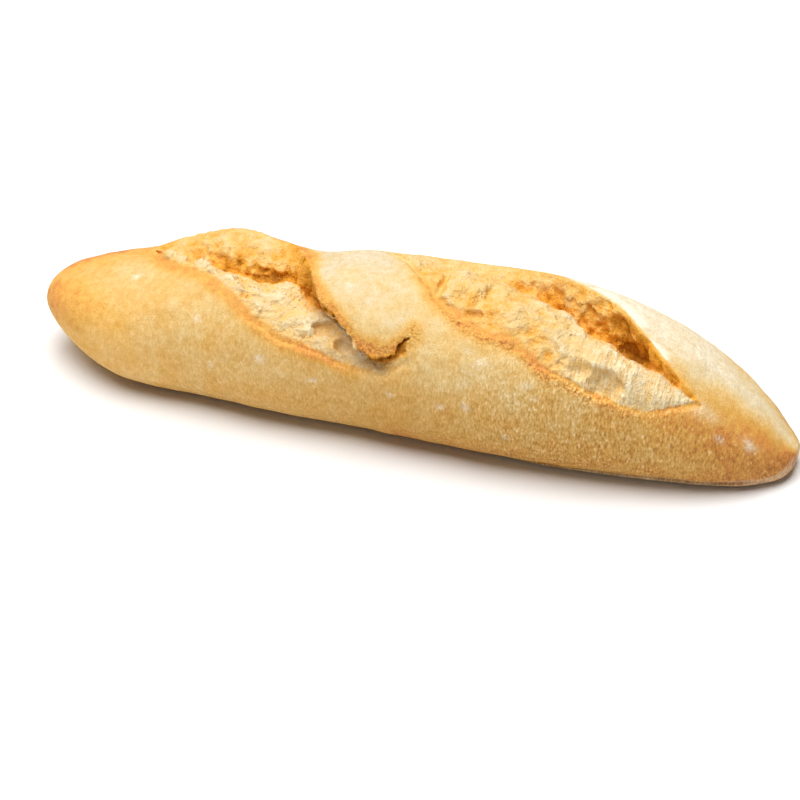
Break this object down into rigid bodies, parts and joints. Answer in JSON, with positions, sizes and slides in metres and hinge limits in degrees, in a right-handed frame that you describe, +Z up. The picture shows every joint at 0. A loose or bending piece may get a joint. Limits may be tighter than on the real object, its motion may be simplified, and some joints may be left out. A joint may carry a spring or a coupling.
{
  "type": "baguette",
  "caption": "Short rustic baguette with a pale golden crust, long overlapping slashes torn open along the top, raised ears, tapered tips and a flat base.",
  "frame": {"origin": "middle of the loaf's bounding box, on the plane its flat base rests on", "axes": "+X along the loaf towards its low, blunt tip, +Y away from the near side that the slashes open towards, +Z up"},
  "size_m": [0.27, 0.0656, 0.0552],
  "materials": {
    "crust": "matte pale golden crust, dusted with flour"
  },
  "bodies": {
    "root": {"loaf": "crust"}
  },
  "joints": []
}
